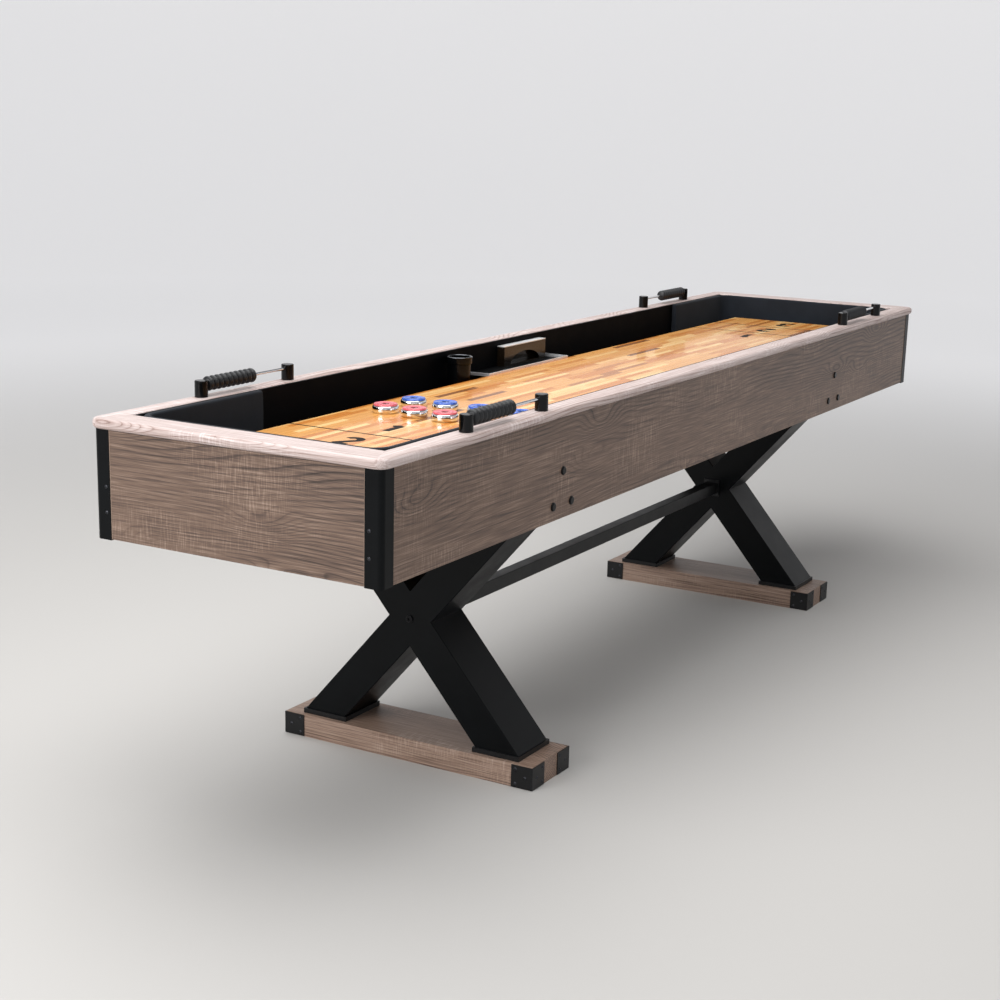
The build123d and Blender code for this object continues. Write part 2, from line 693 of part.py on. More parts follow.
def puck_base():
    """The plated weight, fullest half way up, with a seat for its cap."""
    half_height = PUCK_BASE_HEIGHT / 2
    side_arc = ThreePointArc(
        (PUCK_WAIST_R, 0), (PUCK_R, half_height), (PUCK_WAIST_R, PUCK_BASE_HEIGHT)
    )
    outline = [Line((0, 0), (PUCK_WAIST_R, 0)), side_arc]
    outline += [
        Line((PUCK_WAIST_R, PUCK_BASE_HEIGHT), (0, PUCK_BASE_HEIGHT)), Line((0, PUCK_BASE_HEIGHT), (0, 0))
    ]
    body = revolve(Plane.XZ * make_face(outline), axis=Axis.Z)
    seat = PUCK_BASE_HEIGHT - PUCK_CAP_SEAT
    return body - disc(PUCK_CAP_R, seat, PUCK_BASE_HEIGHT + 1)


def puck_cap():
    """The coloured cap, with a round dimple."""
    low = PUCK_BASE_HEIGHT - PUCK_CAP_SEAT
    high = low + PUCK_CAP_HEIGHT
    cap = disc(PUCK_CAP_R, low, high)
    cap = fillet(cap.edges().sort_by(Axis.Z)[-1], 2.2)
    return cap - disc(PUCK_DIMPLE_R, high - PUCK_DIMPLE_DEPTH, high + 1)


def place_puck(shape, name):
    """Put a puck's piece at its place on the playing surface."""
    from_end, share = PUCKS[name]
    x = from_end - FIELD_LENGTH / 2
    y = share * FIELD_WIDTH / 2
    return Pos(x, y, FIELD_Z + PUCK_LIFT) * shape


# ---- all sub-parts -------------------------------------------------------------------
def build_parts():
    """Every sub-part by its name."""
    parts = {
        "foot_beams": foot_beams(),
        "foot_brackets": foot_brackets(),
        "small_screws": group(foot_screws() + post_screws()),
        "foot_plates": foot_plates(),
        "stretcher": stretcher(),
        "frame_bolts": group([place_leg(cross_bolt(), side) for side in SIDES.values()] + [carriage_bolts()]),
        "head_beams": head_beams(),
        "end_panels": group([end_panel(side) for side in SIDES.values()]),
        "deck_board": deck_board(),
        "cross_battens": cross_battens(),
        "corner_posts": corner_posts(),
        "rail_backers": backers(),
        "side_liners": side_liners(),
        "gutter_carpet": gutter_carpet(),
        "playfield": playfield(),
        "field_inlays": field_inlays(),
        "gutter_shelf": gutter_shelf(),
        "shelf_lip": shelf_lip(),
        "arch_box": arch_box(),
        "arch_box_top": arch_box_top(),
        "cup": cup(),
        "cup_rim": cup_rim(),
        "scorer_posts": group([
            scorer_centre(face, side) * post
            for face, side, _ in SCORERS.values() for post in scorer_posts()
        ]),
        "scorer_rods": group([
            scorer_centre(face, side) * scorer_rod() for face, side, _ in SCORERS.values()
        ]),
    }
    parts.update(rails())
    outer_beam, inner_beam = leg_pair()
    for name, side in SIDES.items():
        parts[f"leg_beam_outer_{name}"] = place_leg(outer_beam, side)
        parts[f"leg_beam_inner_{name}"] = place_leg(inner_beam, side)
        parts[f"end_bumper_{name}"] = end_bumper(side)
    for name, face in FACES.items():
        parts[f"side_panel_{name}"] = side_panel(face)
    for name in SCORERS:
        for index, group_name in enumerate(BEAD_GROUPS):
            parts[f"beads_{name}_{group_name}"] = bead_group(name, index)
    for name in PUCKS:
        parts[f"puck_{name}_base"] = place_puck(puck_base(), name)
        parts[f"puck_{name}_cap"] = place_puck(puck_cap(), name)
    return parts


def main():
    os.makedirs("parts", exist_ok=True)
    for name, shape in build_parts().items():
        export_step(shape, f"parts/{name}.step")


if __name__ == "__main__":
    main()
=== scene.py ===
"""Shuffleboard table, dressed round its fixed frame: laminate, butcher block, padded ends, beads, pucks, fasteners.

Metres, +Z up, in the frame's own axes: X along the table, Y across it, and the origin on the floor under its centre.
"""

import math

import bmesh
import bpy
import numpy as np
from mathutils import Matrix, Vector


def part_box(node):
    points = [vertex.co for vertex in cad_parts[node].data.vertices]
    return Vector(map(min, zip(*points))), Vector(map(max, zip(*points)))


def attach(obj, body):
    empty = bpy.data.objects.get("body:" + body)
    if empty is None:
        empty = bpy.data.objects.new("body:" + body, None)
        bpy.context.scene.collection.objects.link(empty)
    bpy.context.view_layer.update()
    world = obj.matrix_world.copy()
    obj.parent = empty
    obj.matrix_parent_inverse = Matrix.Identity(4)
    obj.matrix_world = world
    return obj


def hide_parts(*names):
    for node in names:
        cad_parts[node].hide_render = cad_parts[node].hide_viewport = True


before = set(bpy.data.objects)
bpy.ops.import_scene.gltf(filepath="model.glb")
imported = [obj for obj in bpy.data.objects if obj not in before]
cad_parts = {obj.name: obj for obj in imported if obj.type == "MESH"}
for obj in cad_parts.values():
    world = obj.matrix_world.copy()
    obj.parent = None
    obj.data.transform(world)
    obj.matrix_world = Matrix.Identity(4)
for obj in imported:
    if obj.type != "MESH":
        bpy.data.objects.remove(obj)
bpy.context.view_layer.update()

bl_info = {
    "name": "Shuffleboard Table",
    "version": (1, 0, 0),
    "blender": (4, 5, 0),
    "location": "3D View > Sidebar > Table",
    "description": "Finishes and soft or turned pieces of a shuffleboard table, built round its frame",
    "category": "Object",
}

MM = 0.001
RIGHT_ANGLE = math.pi / 2
ALONG_X = 0.0                   # turn of a grain that runs along the table
ALONG_Y = -RIGHT_ANGLE          # turn of a grain that runs across it
ENDS = ("left", "right")
FACES = ("front", "back")
PUCKS = [f"{colour}_{count}" for colour in ("red", "blue") for count in (1, 2, 3, 4)]
SCORERS = [f"{face}_{end}" for face in FACES for end in ENDS]
BEAD_GROUPS = [f"{scorer}_{group}" for scorer in SCORERS for group in ("rear", "lead")]
BEADS_PER_GROUP = 5
GLOSS_SPREAD = 0.06             # how far handling marks move a coating's roughness
CUP_WALL = 2.5 * MM
CUP_COLLAR = 12 * MM            # from the cup's top down to where it widens
PUCK_SEAT_GAP = 0.05 * MM       # between a cap and its seat
WELD = 0.002 * MM               # points closer than this become one
CROSS_REACH = 0.62              # of a screw head's radius
STUDIO_RADIUS = 9.0             # where the floor starts to sweep up
STUDIO_SWEEP = 2.5
STUDIO_HEIGHT = 6.0


def linear(code):
    """An sRGB hex colour as linear red, green, blue and alpha."""
    parts = np.array([int(code[start:start + 2], 16) for start in (0, 2, 4)]) / 255
    parts = np.where(parts <= 0.04045, parts / 12.92, ((parts + 0.055) / 1.055) ** 2.4)
    return (*parts.tolist(), 1.0)


def colour_property(name, description, code):
    """A colour that the sidebar shows."""
    return bpy.props.FloatVectorProperty(
        name=name, description=description, subtype="COLOR", size=4, min=0.0, max=1.0, default=linear(code)
    )


def length_property(name, description, millimetres):
    """A length that the sidebar shows."""
    return bpy.props.FloatProperty(
        name=name, description=description, subtype="DISTANCE", unit="LENGTH", min=0.0, precision=4,
        default=millimetres * MM,
    )


# ---- settings ---------------------------------------------------------------------------
class LaminateSettings(bpy.types.PropertyGroup):
    """Printed oak laminate on the panels, rails and feet."""
    pore: colour_property("Pore", "Darkest line of the printed grain", "31251d")
    shade: colour_property("Shade", "Late wood between the lines", "4e3e36")
    tone: colour_property("Tone", "Usual colour of the board", "705a4c")
    pale: colour_property("Pale", "Lightest saw marks", "a08a7a")
    # Painted light: the rail palette is much paler than the panels'. This is partly the rails' own paler laminate and
    # partly painted light from the sky on their tops.
    lit_rail_pore: colour_property("Rail pore", "Darkest line of the rails", "7d675f")
    lit_rail_shade: colour_property("Rail shade", "Grain lines of the rails", "a8928b")
    lit_rail_tone: colour_property("Rail tone", "Usual colour of the rails", "c4b3ae")
    lit_rail_pale: colour_property("Rail pale", "Lightest streaks of the rails", "e3dad8")
    # Painted light: the feet's palette is a lighter copy of the panel laminate, lifted for the light on their front and
    # top faces.
    lit_foot_pore: colour_property("Foot pore", "Darkest line of the feet", "43342c")
    lit_foot_shade: colour_property("Foot shade", "Grain lines of the feet", "6b564b")
    lit_foot_tone: colour_property("Foot tone", "Usual colour of the feet", "957c6c")
    lit_foot_pale: colour_property("Foot pale", "Lightest streaks of the feet", "b8a394")
    line_spacing: length_property("Line spacing", "Usual distance between grain lines", 9)
    saw_mark_spacing: length_property("Saw mark spacing", "Distance between the fine marks across the grain", 2.4)


class BoardSettings(bpy.types.PropertyGroup):
    """Lacquered butcher block of the playing surface."""
    stave_width: length_property("Stave width", "Width of one glued stave", 15)
    stave_length: length_property("Stave length", "Usual length of one stave", 190)
    joint_width: length_property("Joint width", "Width of a glue line", 0.9)
    honey: colour_property("Honey", "Most staves", "e0a158")
    cream: colour_property("Cream", "Palest staves", "f3ca88")
    amber: colour_property("Amber", "Warmer staves", "cc8036")
    walnut: colour_property("Walnut", "The few dark staves", "87501f")
    inlay: colour_property("Inlay", "Zone lines and figures", "120c09")


class BlackSettings(bpy.types.PropertyGroup):
    """Black paint, cloth, rubber and plastic."""
    leg_paint: colour_property("Leg paint", "Satin black of the legs and posts", "050709")
    # Partly painted shade: the liner colour is near pure black, partly the liner's own black and partly the shadow in
    # the trough.
    trough_black_and_shade: colour_property("Liner paint", "Flat black of the trough's sides", "020305")
    powder_coat: colour_property("Powder coat", "Steel plates, brackets and stretcher", "0a0b0d")
    pad_cloth: colour_property("Pad cloth", "Cloth of the padded ends", "1a1e24")
    carpet: colour_property("Carpet", "Gutter floor", "08080a")
    rubber: colour_property("Rubber", "Scorer beads", "0c0e12")
    plastic: colour_property("Plastic", "Scorer posts, shelf and cup", "040506")
    box_lacquer: colour_property("Box lacquer", "Dark brown of the arched box", "17110b")


class BrightSettings(bpy.types.PropertyGroup):
    """Plated and polished metal, and the coloured caps."""
    chrome: colour_property("Chrome", "Rods and puck bases", "dfe0e2")
    aluminium: colour_property("Aluminium", "Shelf lip and box top", "f2f2f3")
    smoked_chrome: colour_property("Smoked chrome", "Rim of the cup", "5c5e62")
    screw_steel: colour_property("Screw steel", "Small screws", "48494d")
    red_cap: colour_property("Red cap", "Caps of the red pucks", "d8606c")
    blue_cap: colour_property("Blue cap", "Caps of the blue pucks", "2f5fc4")


class PadSettings(bpy.types.PropertyGroup):
    """Shape of the padded ends."""
    thickness: length_property("Thickness", "Depth of the pad from its wall", 14)
    top_radius: length_property("Top radius", "Round of the pad's upper edges", 4.5)
    foot_radius: length_property("Foot radius", "Round of the pad's lower edges", 2)
    corner_radius: length_property("Corner radius", "Bend of the pad where it meets the wall", 42)
    crown: length_property("Crown", "How much fuller the pad is at mid height", 1.2)
    end_radius: length_property("End radius", "Round at the end of each arm", 2.5)


class ScorerSettings(bpy.types.PropertyGroup):
    """Shape of the scorer beads."""
    bore_radius: length_property("Bore radius", "Hole for the rod", 3.05)
    shoulder_radius: length_property("Shoulder radius", "Where the rounded outside of a bead starts", 5)
    gap: length_property("Gap", "Space between two beads", 0.3)
    roundness: bpy.props.FloatProperty(
        name="Roundness", description="Power of the bead's outline, 2 for an ellipse", default=1.7, min=1.2, max=8.0
    )


class PuckSettings(bpy.types.PropertyGroup):
    """Shape of the pucks."""
    edge_radius: length_property("Edge radius", "Broken edge at the top and bottom of the base", 0.8)
    cap_seat: length_property("Cap seat", "How deep the cap sits in the base", 1.5)
    rim_width: length_property("Rim width", "Raised ring round a cap", 2.6)
    dish_depth: length_property("Dish depth", "How far the cap's face lies below its rim", 0.7)
    dimple_radius: length_property("Dimple radius", "Round hollow in the middle of a cap", 7)
    dimple_depth: length_property("Dimple depth", "Depth of that hollow below the face", 2.4)
    bulge: length_property("Bulge", "How much fuller a base is at mid height", 1.6)


class FastenerSettings(bpy.types.PropertyGroup):
    """Places and shape of the small screws."""
    head_radius: length_property("Head radius", "Radius of a screw's head", 3.6)
    head_rise: length_property("Head rise", "Height of its dome", 1.6)
    cross_width: length_property("Cross width", "Width of one arm of the driver's cross", 1.1)
    cross_depth: length_property("Cross depth", "Depth of the cross", 0.9)
    from_corner: length_property("From corner", "Middle screw of a bracket from the foot's corner", 17)
    from_edge: length_property("From edge", "Outer screws of a bracket from its edges", 9)
    bracket_reach: length_property("Bracket reach", "Length of each arm of a bracket", 48)
    from_face: length_property("From face", "Post screws from the cabinet's long face", 25)
    upper_drop: length_property("Upper drop", "Upper post screw below the rail", 102)
    lower_drop: length_property("Lower drop", "Lower post screw below the rail", 148)


class StageSettings(bpy.types.PropertyGroup):
    """Floor, lights and camera."""
    floor: colour_property("Floor", "Seamless floor and wall", "c2c0bd")
    sky: colour_property("Sky", "Light that falls in from above", "f6f7fb")
    sky_strength: bpy.props.FloatProperty(name="Sky strength", description="Strength of that light", default=0.25)
    glow: bpy.props.FloatProperty(name="Glow", description="Light of the backdrop's own lamps", default=0.5)
    key_power: bpy.props.FloatProperty(
        name="Key power", description="Soft box over the table", unit="POWER", default=135
    )
    end_power: bpy.props.FloatProperty(
        name="End power", description="Soft box off the near end", unit="POWER", default=100
    )
    camera_place: bpy.props.FloatVectorProperty(
        name="Camera place", description="Where the camera stands", subtype="TRANSLATION",
        default=(-3.6069, -1.8111, 1.3008),
    )
    heading: bpy.props.FloatProperty(
        name="Heading", description="Turn from +Y towards +X", subtype="ANGLE", default=math.radians(60.25)
    )
    tilt: bpy.props.FloatProperty(
        name="Tilt", description="Downward look", subtype="ANGLE", default=math.radians(14.12)
    )
    roll: bpy.props.FloatProperty(
        name="Roll", description="Lean of the camera", subtype="ANGLE", default=math.radians(1.415)
    )
    shift: bpy.props.FloatVectorProperty(
        name="Shift", description="Sideways and upward lens shift, in frame widths", size=2, precision=4,
        default=(-0.0039, 0.039),
    )
    focal_length: bpy.props.FloatProperty(name="Focal length", description="Lens, in mm", unit="CAMERA", default=62.97)


# ---- materials --------------------------------------------------------------------------
def add(tree, kind, inputs=None, stops=(), **settings):
    """Adds a shader node: settings are its properties, stops its ramp, and an input takes a value, socket or node."""
    made = tree.nodes.new("ShaderNode" + kind)
    for key, value in settings.items():
        setattr(made, key, value)
    for _ in stops[2:]:
        made.color_ramp.elements.new(0.5)
    for element, (position, colour) in zip(made.color_ramp.elements if stops else (), stops):
        element.position = position
        element.color = colour
    for key, value in (inputs or {}).items():
        if isinstance(value, bpy.types.Node):
            value = value.outputs[0]
        if isinstance(value, bpy.types.NodeSocket):
            tree.links.new(value, made.inputs[key])
        else:
            made.inputs[key].default_value = value
    return made


def start(name, **constants):
    """A new material with its constant shader inputs set: its tree, its shader and its Object coordinates."""
    material = bpy.data.materials.new(name)
    material.use_nodes = True
    tree = material.node_tree
    shader = tree.nodes["Principled BSDF"]
    for key, value in constants.items():
        shader.inputs[key.replace("_", " ")].default_value = value
    return material, tree, shader, add(tree, "TexCoord").outputs["Object"]


def dress(material, *names):
    """Gives CAD nodes their material."""
    for name in names:
        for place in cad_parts[name].material_slots:
            place.material = material


def oak_laminate(name, colours, spacing, saw_spacing, turn, raw_ends=None):
    """Melamine board printed with rough-sawn oak: wavy grain lines, fine fibres and pale patches of saw marks."""
    # Mapping scales are repeats in a metre, along the grain and across it. Real pores are about 0.3 mm wide: these
    # fibres are near 2 mm, so that they show.
    material, tree, shader, where = start(name, Specular_IOR_Level=0.45)
    board = add(tree, "Mapping", {"Vector": where, "Rotation": (0, 0, turn)})
    long_grain = add(tree, "Mapping", {"Vector": board, "Scale": (1.3, 6.5, 6.5)})
    swirl = add(tree, "TexNoise", {"Vector": long_grain, "Scale": 1.0, "Detail": 2.0, "Roughness": 0.4})
    across = add(tree, "VectorMath", {0: board, 1: (0.0, 1 / spacing, 1 / spacing)}, operation="DOT_PRODUCT")
    ring = add(tree, "Math", {0: swirl, 1: 0.14 / spacing, 2: across.outputs["Value"]}, operation="MULTIPLY_ADD")
    knot_place = add(tree, "Mapping", {"Vector": board, "Rotation": (RIGHT_ANGLE, 0, 0), "Scale": (2.4, 7.5, 7.5)})
    knot = add(tree, "TexVoronoi", {"Vector": knot_place, "Scale": 1.0}, voronoi_dimensions="2D")
    knot = add(tree, "MapRange", {"Value": knot, "From Max": 0.3, "To Min": 4.0, "To Max": 0.0},
               interpolation_type="SMOOTHSTEP")
    ring = add(tree, "Math", {0: ring, 1: knot}, operation="ADD")
    ring = add(tree, "Math", {0: ring}, operation="FRACT")
    line = add(tree, "ValToRGB", {"Fac": ring}, [
        (0.0, (0.75, 0.75, 0.75, 1)), (0.4, (1, 1, 1, 1)), (0.78, (0.6, 0.6, 0.6, 1)), (0.9, (0, 0, 0, 1)),
        (0.94, (0.2, 0.2, 0.2, 1)), (1.0, (0.75, 0.75, 0.75, 1)),
    ])
    fade_place = add(tree, "Mapping", {"Vector": board, "Scale": (1.2, 9.0, 9.0)})
    fade = add(tree, "TexNoise", {"Vector": fade_place, "Scale": 1.0, "Detail": 2.0})
    fade = add(tree, "MapRange", {"Value": fade, "From Min": 0.4, "From Max": 0.64, "To Min": 0.03, "To Max": 0.42})
    fibre_place = add(tree, "Mapping", {"Vector": board, "Scale": (9.0, 460.0, 460.0)})
    fibre = add(tree, "TexNoise", {"Vector": fibre_place, "Scale": 1.0, "Detail": 3.0, "Roughness": 0.65})
    mark_place = add(tree, "Mapping", {"Vector": board, "Scale": (1 / saw_spacing, 34.0, 34.0)})
    marks = add(tree, "TexNoise", {"Vector": mark_place, "Scale": 1.0, "Detail": 1.0})
    marks = add(tree, "MapRange", {"Value": marks, "From Min": 0.5, "From Max": 0.66})
    patch_place = add(tree, "Mapping", {"Vector": board, "Scale": (5.0, 12.0, 12.0)})
    patches = add(tree, "TexNoise", {"Vector": patch_place, "Scale": 1.0, "Detail": 2.0})
    patches = add(tree, "MapRange", {"Value": patches, "From Min": 0.46, "From Max": 0.66})
    sawn = add(tree, "Math", {0: marks, 1: patches}, operation="MULTIPLY")
    shade = add(tree, "Math", {0: fibre, 1: 1.0, 2: 0.0}, operation="MULTIPLY_ADD")
    dip = add(tree, "Math", {0: 1.0, 1: line.outputs[0]}, operation="SUBTRACT")
    dip = add(tree, "Math", {0: dip, 1: fade}, operation="MULTIPLY")
    shade = add(tree, "Math", {0: shade, 1: dip}, operation="SUBTRACT")
    shade = add(tree, "Math", {0: sawn, 1: 0.17, 2: shade}, operation="MULTIPLY_ADD")
    pore, shadow, tone, pale = colours
    colour = add(tree, "ValToRGB", {"Fac": shade}, [(0.1, pore), (0.3, shadow), (0.5, tone), (0.8, pale)]).outputs[0]
    if raw_ends is not None:
        edge = add(tree, "SeparateXYZ", {"Vector": board})
        edge = add(tree, "Math", {0: edge}, operation="ABSOLUTE")
        edge = add(tree, "Math", {0: edge, 1: raw_ends - 1.2 * MM}, operation="GREATER_THAN")
        colour = add(tree, "Mix", {0: edge, 6: colour, 7: pale}, data_type="RGBA").outputs[2]
    tree.links.new(colour, shader.inputs["Base Color"])
    rough = add(tree, "MapRange", {"Value": fibre, "To Min": 0.36, "To Max": 0.56})
    tree.links.new(rough.outputs[0], shader.inputs["Roughness"])
    bump = add(tree, "Bump", {"Height": shade, "Strength": 0.3, "Distance": 0.25 * MM})
    tree.links.new(bump.outputs[0], shader.inputs["Normal"])
    return material


def butcher_block(settings):
    """Hard maple and beech staves, glued edge to edge and end to end, under thick polished lacquer."""
    material, tree, shader, where = start(
        "lacquered_butcher_block", Specular_IOR_Level=0.2, Coat_Weight=0.3, Coat_Roughness=0.06
    )
    place = add(tree, "SeparateXYZ", {"Vector": where})
    rows = add(tree, "Math", {0: place.outputs["Y"], 1: settings.stave_width}, operation="DIVIDE")
    row = add(tree, "Math", {0: rows}, operation="FLOOR")
    row_chance = add(tree, "TexWhiteNoise", {"W": row}, noise_dimensions="1D")
    pace = add(tree, "MapRange", {
        "Value": row_chance, "To Min": 0.7 / settings.stave_length, "To Max": 1.4 / settings.stave_length,
    })
    slide = add(tree, "Math", {0: row_chance, 1: 37.0}, operation="MULTIPLY")
    cells = add(tree, "Math", {0: place.outputs["X"], 1: pace, 2: slide}, operation="MULTIPLY_ADD")
    cell = add(tree, "Math", {0: cells}, operation="FLOOR")
    stave = add(tree, "CombineXYZ", {"X": row, "Y": cell})
    chance = add(tree, "TexWhiteNoise", {"Vector": stave}, noise_dimensions="2D")
    tone = add(tree, "ValToRGB", {"Fac": chance}, [
        (0.0, settings.walnut), (0.02, settings.walnut), (0.05, settings.amber), (0.2, settings.amber),
        (0.35, settings.honey), (0.7, settings.honey), (1.0, settings.cream),
    ])
    shifted = add(tree, "VectorMath", {0: where, 1: chance.outputs["Color"]}, operation="ADD")
    grain_place = add(tree, "Mapping", {"Vector": shifted, "Scale": (7.0, 160.0, 40.0)})
    grain = add(tree, "TexNoise", {
        "Vector": grain_place, "Scale": 1.0, "Detail": 4.0, "Roughness": 0.6, "Distortion": 0.6,
    })
    grain = add(tree, "MapRange", {"Value": grain, "From Min": 0.25, "From Max": 0.75, "To Min": 0.8, "To Max": 1.12})
    colour = add(tree, "VectorMath", {0: tone, "Scale": grain.outputs[0]}, operation="SCALE")
    across = add(tree, "Math", {0: rows}, operation="FRACT")
    across = add(tree, "Math", {0: across, 1: 0.5}, operation="SUBTRACT")
    across = add(tree, "Math", {0: across}, operation="ABSOLUTE")
    side_joint = add(tree, "MapRange", {
        "Value": across, "From Min": 0.5 - settings.joint_width / settings.stave_width, "From Max": 0.5, "To Max": 0.45,
    })
    lengthways = add(tree, "Math", {0: cells}, operation="FRACT")
    end_joint = add(tree, "MapRange", {
        "Value": lengthways, "From Min": settings.joint_width / settings.stave_length, "From Max": 0.0, "To Max": 0.6,
    })
    joint = add(tree, "Math", {0: side_joint, 1: end_joint}, operation="MAXIMUM")
    colour = add(tree, "Mix", {0: joint, 6: colour.outputs[0], 7: settings.walnut}, data_type="RGBA")
    tree.links.new(colour.outputs[2], shader.inputs["Base Color"])
    rough = add(tree, "MapRange", {"Value": grain, "From Min": 0.8, "From Max": 1.1, "To Min": 0.32, "To Max": 0.24})
    tree.links.new(rough.outputs[0], shader.inputs["Roughness"])
    bump = add(tree, "Bump", {"Height": joint, "Strength": 0.2, "Distance": 0.1 * MM}, invert=True)
    tree.links.new(bump.outputs[0], shader.inputs["Normal"])
    return material


def coated(name, colour, roughness, grit, depth, **constants):
    """Paint, powder coat or moulded plastic: even colour, a fine skin texture and faint handling marks in the gloss."""
    material, tree, shader, where = start(name, **constants)
    smudge = add(tree, "TexNoise", {"Vector": where, "Scale": 11.0, "Detail": 4.0, "Roughness": 0.65})
    lift = add(tree, "MapRange", {"Value": smudge, "From Min": 0.3, "From Max": 0.7, "To Min": 0.8, "To Max": 1.3})
    tint = add(tree, "VectorMath", {0: tuple(colour)[:3], "Scale": lift.outputs[0]}, operation="SCALE")
    tree.links.new(tint.outputs[0], shader.inputs["Base Color"])
    rough = add(tree, "MapRange", {
        "Value": smudge, "From Min": 0.3, "From Max": 0.7,
        "To Min": roughness - GLOSS_SPREAD, "To Max": roughness + GLOSS_SPREAD,
    })
    tree.links.new(rough.outputs[0], shader.inputs["Roughness"])
    skin = add(tree, "TexNoise", {"Vector": where, "Scale": 1 / grit, "Detail": 2.0})
    bump = add(tree, "Bump", {"Height": skin, "Strength": 0.4, "Distance": depth})
    tree.links.new(bump.outputs[0], shader.inputs["Normal"])
    return material


def felted(name, colour, fibre, depth):
    """Needle felt or brushed cloth: no thread direction, a dull fuzzy surface that catches light at its edges."""
    material, tree, shader, where = start(
        name, Roughness=0.92, Specular_IOR_Level=0.2, Sheen_Weight=0.06, Sheen_Roughness=0.4
    )
    # Real fibres are some 0.03 mm thick. They are drawn as tufts of 1 mm or more, so that they show.
    tuft = add(tree, "TexNoise", {"Vector": where, "Scale": 1 / fibre, "Detail": 5.0, "Roughness": 0.75})
    wear = add(tree, "TexNoise", {"Vector": where, "Scale": 14.0, "Detail": 3.0})
    mixed = add(tree, "Math", {0: wear, 1: 0.6, 2: tuft}, operation="MULTIPLY_ADD")
    lift = add(tree, "MapRange", {"Value": mixed, "From Min": 0.5, "From Max": 1.1, "To Min": 0.6, "To Max": 1.6})
    tint = add(tree, "VectorMath", {0: tuple(colour)[:3], "Scale": lift.outputs[0]}, operation="SCALE")
    tree.links.new(tint.outputs[0], shader.inputs["Base Color"])
    bump = add(tree, "Bump", {"Height": tuft, "Strength": 0.7, "Distance": depth})
    tree.links.new(bump.outputs[0], shader.inputs["Normal"])
    return material


def bare_metal(name, colour, roughness, scratch_turn=None):
    """Chrome plate or polished aluminium: a mirror with hairline wipe marks."""
    material, tree, shader, where = start(name, Metallic=1.0, Base_Color=tuple(colour))
    stretch = (30.0, 900.0, 900.0) if scratch_turn is not None else (300.0, 300.0, 300.0)
    place = add(tree, "Mapping", {"Vector": where, "Rotation": (0, 0, scratch_turn or 0.0)})
    place = add(tree, "Mapping", {"Vector": place, "Scale": stretch})
    # Wipe marks are drawn near 1 mm wide, coarser than real hairlines.
    wipe = add(tree, "TexNoise", {"Vector": place, "Scale": 1.0, "Detail": 3.0})
    rough = add(tree, "MapRange", {
        "Value": wipe, "From Min": 0.3, "From Max": 0.7, "To Min": roughness * 0.6, "To Max": roughness * 1.4,
    })
    tree.links.new(rough.outputs[0], shader.inputs["Roughness"])
    bump = add(tree, "Bump", {"Height": wipe, "Strength": 0.06, "Distance": 0.05 * MM})
    tree.links.new(bump.outputs[0], shader.inputs["Normal"])
    return material


def cap_plastic(name, colour, hollow):
    """Glossy injection-moulded plastic with painted shade in its deep dimple, which starts that far along the cap's
    outline.
    """
    material, tree, shader, where = start(name, Coat_Weight=0.5, Coat_Roughness=0.05)
    place = add(tree, "SeparateXYZ", {"Vector": add(tree, "UVMap", uv_map="UVMap")})
    # Painted shade: across the dimple the cap's colour falls to 0.3 of itself, as if shade filled the recess.
    deep = add(tree, "MapRange", {"Value": place, "From Min": hollow - 0.5 * MM, "From Max": hollow + MM, "To Min": 1.0,
                                  "To Max": 0.3})
    tint = add(tree, "VectorMath", {0: tuple(colour)[:3], "Scale": deep.outputs[0]}, operation="SCALE")
    tree.links.new(tint.outputs[0], shader.inputs["Base Color"])
    wear = add(tree, "TexNoise", {"Vector": where, "Scale": 180.0, "Detail": 3.0})
    rough = add(tree, "MapRange", {"Value": wear, "To Min": 0.2, "To Max": 0.34})
    tree.links.new(rough.outputs[0], shader.inputs["Roughness"])
    return material


def plain_pine(name):
    """Sawn softwood bearers, seen only from below: straight pale grain."""
    material, tree, shader, where = start(name, Roughness=0.7)
    place = add(tree, "Mapping", {"Vector": where, "Scale": (90.0, 5.0, 60.0)})
    grain = add(tree, "TexNoise", {"Vector": place, "Scale": 1.0, "Detail": 3.0, "Distortion": 0.8})
    colour = add(tree, "ValToRGB", {"Fac": grain}, [
        (0.3, linear("a07c50")), (0.55, linear("c9a878")), (0.75, linear("dcc195"))
    ])
    tree.links.new(colour.outputs[0], shader.inputs["Base Color"])
    bump = add(tree, "Bump", {"Height": grain, "Strength": 0.4, "Distance": 0.4 * MM})
    tree.links.new(bump.outputs[0], shader.inputs["Normal"])
    return material


# ---- surfaces ---------------------------------------------------------------------------
def arc(centre, radius, first, last, steps):
    """Points on an arc between two angles in degrees: centre + radius (cos a, sin a)."""
    angle = np.radians(np.linspace(first, last, steps))
    return np.array(centre) + radius * np.stack([np.cos(angle), np.sin(angle)], axis=-1)


def turned(profile, centre, turns=64, along="Z"):
    """A profile of (radius, height) carried round a straight axis: (r cos a, r sin a, h) for every angle a."""
    angle = np.linspace(0, 2 * np.pi, turns + 1)
    radius, height = np.asarray(profile).T[:, :, None]
    level = height + np.zeros_like(angle)
    round_it = [radius * np.cos(angle), radius * np.sin(angle)]
    axes = [*round_it, level] if along == "Z" else [level, *round_it]
    return np.stack(axes, axis=-1) + np.array(centre)


